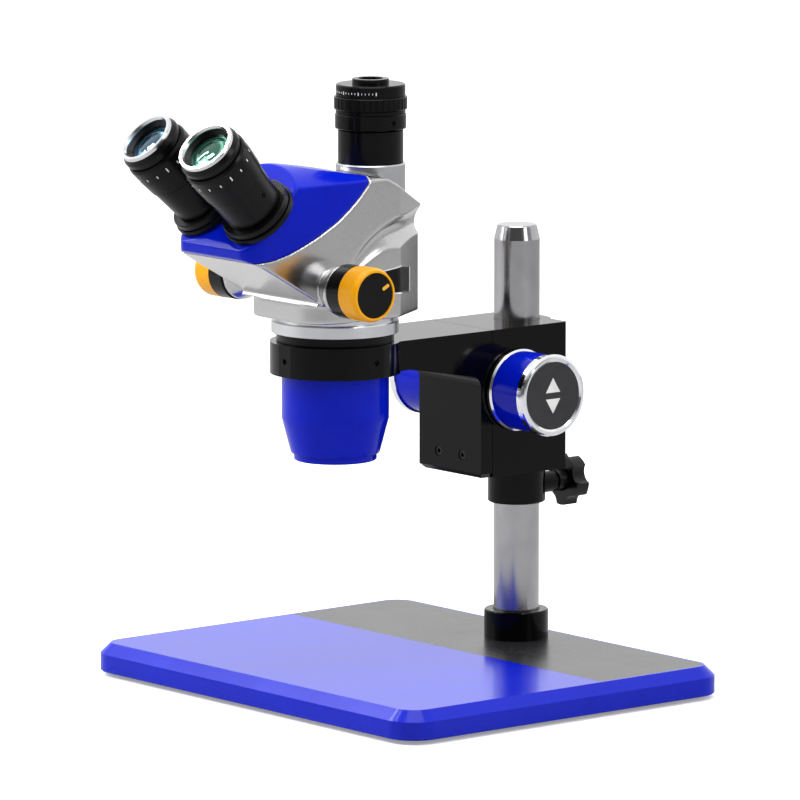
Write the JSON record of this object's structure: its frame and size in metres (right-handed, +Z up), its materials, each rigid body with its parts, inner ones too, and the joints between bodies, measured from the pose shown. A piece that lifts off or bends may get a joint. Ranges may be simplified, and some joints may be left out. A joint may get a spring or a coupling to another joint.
{
  "type": "stereo microscope",
  "caption": "Trinocular stereo microscope on a column stand: blue and silver zoom head in a ring holder, rack focus block and flat base plate.",
  "frame": {"origin": "on the desk, at the underside of the rubber feet, under the middle of the whole outline", "axes": "+X to the user's right, +Y away from the user towards the column, +Z up along the column"},
  "size_m": [0.354, 0.3698, 0.427],
  "materials": {
    "base_blue": "gloss",
    "panel_grey": "gloss",
    "rubber": "matte",
    "column_steel": "polished",
    "screw_steel": "satin",
    "black_paint": "gloss",
    "black_anodised": "satin",
    "bush_brass": "satin",
    "knob_black": "gloss",
    "knob_blue": "gloss",
    "chrome_ring": "polished",
    "disc_grey": "satin",
    "silver_paint": "satin",
    "turned_aluminium": "satin",
    "cover_blue": "gloss",
    "zoom_yellow": "gloss",
    "lens_glass": "polished",
    "coated_lens": "polished",
    "inner_aluminium": "satin",
    "plaque_black": "gloss"
  },
  "bodies": {
    "stand": {"base_plate": "base_blue", "rear_panel": "panel_grey", "rubber_feet": "rubber", "column": "column_steel", "column_screw": "screw_steel", "foot_collar": "black_paint"},
    "column_bush": {"guide_bush": "bush_brass"},
    "focus_block": {"focus_housing": "black_paint", "clamp_sleeve": "black_paint", "knob_seats": "black_anodised"},
    "column_clamp": {"clamp_knob": "knob_black", "clamp_stud": "screw_steel"},
    "focus_drive": {"pinion_shaft": "screw_steel", "focus_knob_left": "knob_blue", "focus_knob_right": "knob_blue", "knob_bezels": "chrome_ring", "knob_discs": "disc_grey"},
    "carriage": {"holder_arm": "black_paint", "slide_rail": "inner_aluminium", "slide_screws": "screw_steel", "ring_screws": "screw_steel"},
    "head": {"mount_flange": "turned_aluminium", "mount_spigot": "black_anodised", "nosepiece": "cover_blue", "nose_window": "lens_glass", "objective_cells": "black_anodised", "objective_lenses": "coated_lens", "lens_frame": "inner_aluminium", "erecting_prisms": "lens_glass", "head_shell": "silver_paint", "top_cover": "cover_blue", "side_plaques": "plaque_black", "port_seat": "black_anodised", "port_base": "turned_aluminium", "photo_tube": "black_paint", "port_clamp": "black_anodised", "port_screw": "screw_steel", "camera_mount": "black_anodised", "relay_lens": "lens_glass"},
    "port_focus": {"photo_focus_ring": "black_anodised"},
    "zoom_drive": {"zoom_shaft": "screw_steel", "zoom_collars": "knob_black", "zoom_rings": "zoom_yellow", "zoom_caps": "knob_black"},
    "zoom_slide": {"zoom_carrier": "inner_aluminium", "zoom_lenses": "coated_lens"},
    "eye_left": {"eye_disc_left": "black_anodised", "eye_tube_left": "black_anodised", "eye_screw_left": "screw_steel"},
    "diopter_left": {"diopter_ring_left": "black_anodised", "eye_collar_left": "knob_black", "eye_rim_left": "turned_aluminium", "eye_lens_left": "coated_lens"},
    "eye_right": {"eye_disc_right": "black_anodised", "eye_tube_right": "black_anodised", "eye_screw_right": "screw_steel"},
    "diopter_right": {"diopter_ring_right": "black_anodised", "eye_collar_right": "knob_black", "eye_rim_right": "turned_aluminium", "eye_lens_right": "coated_lens"}
  },
  "joints": [
    {"name": "column_height", "type": "slide", "parent": "stand", "child": "column_bush", "axis": [0, 0, 1], "range_m": [-0.07, 0.05]},
    {"name": "column_swing", "type": "hinge", "parent": "column_bush", "child": "focus_block", "pos_m": [0, 0.13189, 0.197], "axis": [0, 0, 1], "continuous": true},
    {"name": "clamp_turn", "type": "hinge", "parent": "focus_block", "child": "column_clamp", "pos_m": [0, 0.17888, 0.13], "axis": [0, 1, 0], "range_deg": [-270, 0]},
    {"name": "focus_height", "type": "slide", "parent": "focus_block", "child": "carriage", "axis": [0, 0, 1], "range_m": [-0.019, 0.019]},
    {"name": "focus_turn", "type": "hinge", "parent": "focus_block", "child": "focus_drive", "pos_m": [0, 0.10389, 0.205], "axis": [1, 0, 0], "range_deg": [-160, 160]},
    {"name": "head_turn", "type": "hinge", "parent": "carriage", "child": "head", "pos_m": [0, -0.03161, 0.238], "axis": [0, 0, 1], "range_deg": [-90, 90]},
    {"name": "port_focus_turn", "type": "hinge", "parent": "head", "child": "port_focus", "pos_m": [0, -0.00012, 0.41], "axis": [0, 0, 1], "range_deg": [-150, 150]},
    {"name": "zoom_turn", "type": "hinge", "parent": "head", "child": "zoom_drive", "pos_m": [0, -0.06811, 0.292], "axis": [1, 0, 0], "range_deg": [-75, 75]},
    {"name": "zoom_lens_slide", "type": "slide", "parent": "head", "child": "zoom_slide", "axis": [0, 0, 1], "range_m": [-0.0094, 0.0094]},
    {"name": "eye_swing_right", "type": "hinge", "parent": "head", "child": "eye_right", "pos_m": [0.02617, -0.10907, 0.3545], "axis": [0.0739, -0.7032, 0.7071], "range_deg": [-2, 20]},
    {"name": "eye_swing_left", "type": "hinge", "parent": "head", "child": "eye_left", "pos_m": [-0.02617, -0.10907, 0.3545], "axis": [-0.0739, -0.7032, 0.7071], "range_deg": [-20, 2]},
    {"name": "diopter_turn_right", "type": "hinge", "parent": "eye_right", "child": "diopter_right", "pos_m": [0.0309, -0.15408, 0.37995], "axis": [0.0739, -0.7032, 0.7071], "range_deg": [-150, 150]},
    {"name": "diopter_turn_left", "type": "hinge", "parent": "eye_left", "child": "diopter_left", "pos_m": [-0.0309, -0.15408, 0.37995], "axis": [-0.0739, -0.7032, 0.7071], "range_deg": [-150, 150]}
  ],
  "couplings": [
    {"joint": "focus_turn", "follows": "focus_height", "rad_per_m": -142.86},
    {"joint": "zoom_lens_slide", "follows": "zoom_turn", "m_per_rad": 0.007},
    {"joint": "eye_swing_left", "follows": "eye_swing_right", "ratio": -1}
  ]
}
